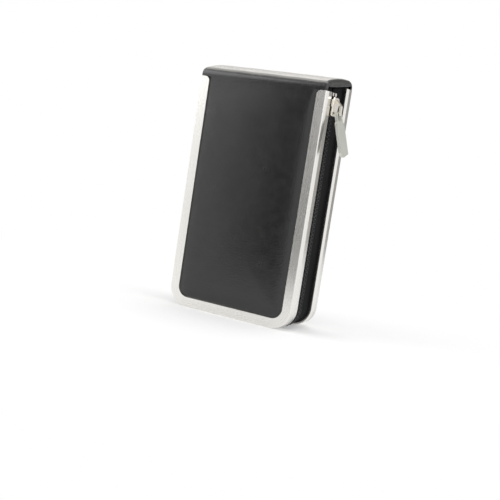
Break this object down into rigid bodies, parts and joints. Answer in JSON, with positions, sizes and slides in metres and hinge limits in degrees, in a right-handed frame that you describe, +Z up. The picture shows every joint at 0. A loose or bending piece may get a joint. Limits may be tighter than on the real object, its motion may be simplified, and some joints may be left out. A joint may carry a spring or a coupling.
{
  "type": "manicure set case",
  "caption": "Small upright zip case with padded leather sides in bent metal trims, opening flat about a sloping leather spine, with strapped trays for manicure tools.",
  "frame": {"origin": "middle of the footprint that the case stands on, between the two trims' bottom strips", "axes": "+Z up to the spine, the front face looks along -Y, and the zip's closed end is on the +X side"},
  "size_m": [0.0689, 0.025, 0.1067],
  "materials": {
    "trim_metal": "fine brushed, bright",
    "cover_leather": "smooth fine grain, semi-gloss",
    "foam": "open foam",
    "stiff_board": "matt board",
    "rim_plastic": "matt black plastic",
    "lining_cloth": "short brushed nap",
    "zip_tape": "woven tape",
    "zip_coil": "black nylon",
    "panel_leather": "matt leatherette",
    "elastic": "ribbed elastic",
    "zip_metal": "bright plated",
    "slider_metal": "bright nickel plate",
    "pull_metal": "satin nickel plate"
  },
  "bodies": {
    "back_half": {"rear_trim": "trim_metal", "rear_leather": "cover_leather", "rear_padding": "foam", "rear_board": "stiff_board", "rear_rim": "rim_plastic", "rear_lining": "lining_cloth", "rear_zip_tape": "zip_tape", "rear_zip_teeth": "zip_coil", "rear_tool_panel": "panel_leather", "rear_lower_strap": "elastic", "rear_upper_strap": "elastic", "rear_top_stop": "zip_metal", "zip_bottom_stop": "zip_metal"},
    "spine": {"spine_leather": "cover_leather", "spine_padding": "foam", "spine_board": "stiff_board", "spine_lining": "lining_cloth"},
    "front_half": {"front_trim": "trim_metal", "front_leather": "cover_leather", "front_padding": "foam", "front_board": "stiff_board", "front_rim": "rim_plastic", "front_lining": "lining_cloth", "front_zip_tape": "zip_tape", "front_zip_teeth": "zip_coil", "front_tool_panel": "panel_leather", "front_lower_strap": "elastic", "front_upper_strap": "elastic", "front_top_stop": "zip_metal"},
    "slider": {"slider_body": "slider_metal"},
    "pull": {"pull_tab": "pull_metal"}
  },
  "joints": [
    {"name": "rear_fold", "type": "hinge", "parent": "back_half", "child": "spine", "pos_m": [0, 0.0116, 0.10568], "axis": [-1, 0, 0], "range_deg": [0, 97.37], "deforming": ["front_zip_teeth"]},
    {"name": "front_fold", "type": "hinge", "parent": "spine", "child": "front_half", "pos_m": [0, -0.0116, 0.10268], "axis": [-1, 0, 0], "range_deg": [0, 82.63]},
    {"name": "slider_slide", "type": "slide", "parent": "back_half", "child": "slider", "axis": [0, 0, -1], "range_m": [0, 0.081], "deforming": ["rear_zip_teeth"]},
    {"name": "pull_hinge", "type": "hinge", "parent": "slider", "child": "pull", "pos_m": [0.0325, -0.0035, 0.09195], "axis": [0, -1, 0], "range_deg": [-18.5, 118]}
  ],
  "couplings": [
    {"joint": "front_fold", "follows": "rear_fold", "ratio": 0.84862}
  ]
}
